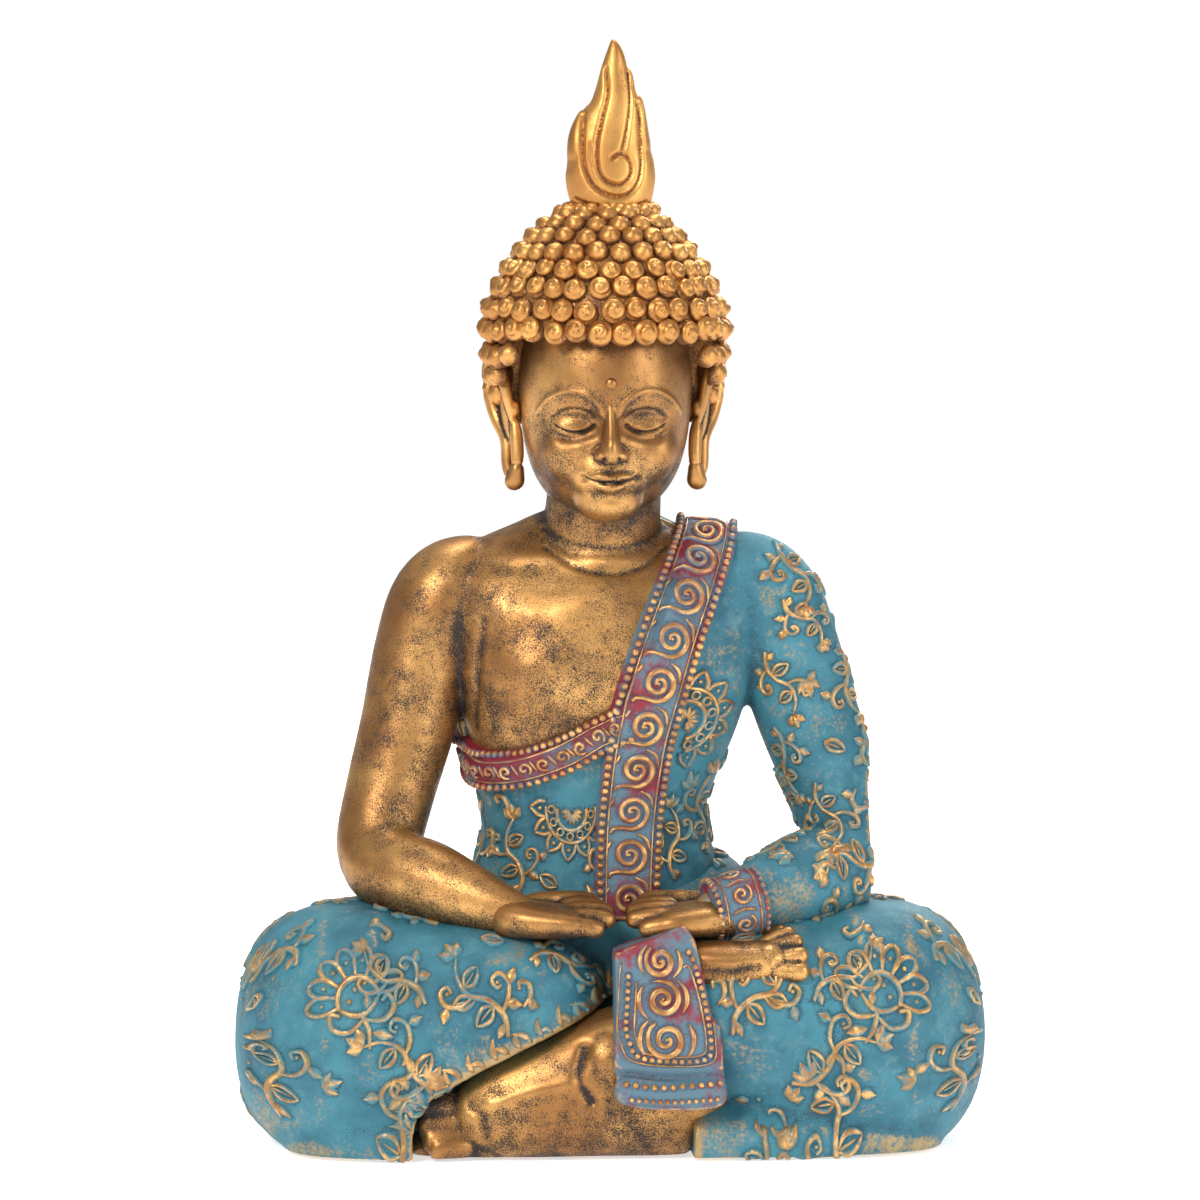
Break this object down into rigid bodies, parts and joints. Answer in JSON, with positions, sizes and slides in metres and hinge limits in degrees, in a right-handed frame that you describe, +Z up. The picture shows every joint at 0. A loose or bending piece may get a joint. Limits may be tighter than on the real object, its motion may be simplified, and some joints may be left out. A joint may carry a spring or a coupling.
{
  "type": "seated buddha statue",
  "caption": "Free-standing decorative figure of a seated, meditating buddha in a patterned robe and sash, cast hollow and painted, to stand on a shelf or table.",
  "frame": {"origin": "middle of the whole statue's outline, on the surface it stands on", "axes": "+Z up, the figure faces -Y, +X towards the figure's left hand"},
  "size_m": [0.2034, 0.1062, 0.3],
  "materials": {
    "aged_gold": "resin, antique gold paint rubbed over black, satin sheen",
    "bright_gold": "resin, bright gold paint with darker recesses, satin sheen",
    "turquoise_paint": "resin, matte turquoise paint with gold dry-brushed on the raised pattern",
    "crimson_wash": "resin, crimson wash over pale turquoise, with gold dry-brushed beads and spirals",
    "bare_resin": "unpainted cast resin",
    "felt": "pressed felt"
  },
  "bodies": {
    "root": {"hips": "turquoise_paint", "base_plate": "bare_resin", "torso": "aged_gold", "neck": "aged_gold", "head": "aged_gold", "robe": "turquoise_paint", "shoulder_sash": "crimson_wash", "chest_hem": "crimson_wash", "right_upper_arm": "aged_gold", "right_forearm": "aged_gold", "right_hand": "aged_gold", "left_upper_sleeve": "turquoise_paint", "left_cuff": "crimson_wash", "left_forearm_sleeve": "turquoise_paint", "left_hand": "aged_gold", "sash_tail": "crimson_wash", "left_shin": "aged_gold", "left_foot": "aged_gold", "right_foot": "aged_gold", "right_leg": "turquoise_paint", "left_leg": "turquoise_paint", "right_ear": "aged_gold", "left_ear": "aged_gold", "hair_cap": "bright_gold", "flame_finial": "bright_gold", "felt_pad_front_right": "felt", "felt_pad_front_left": "felt", "felt_pad_back_right": "felt", "felt_pad_back_left": "felt"}
  },
  "joints": []
}
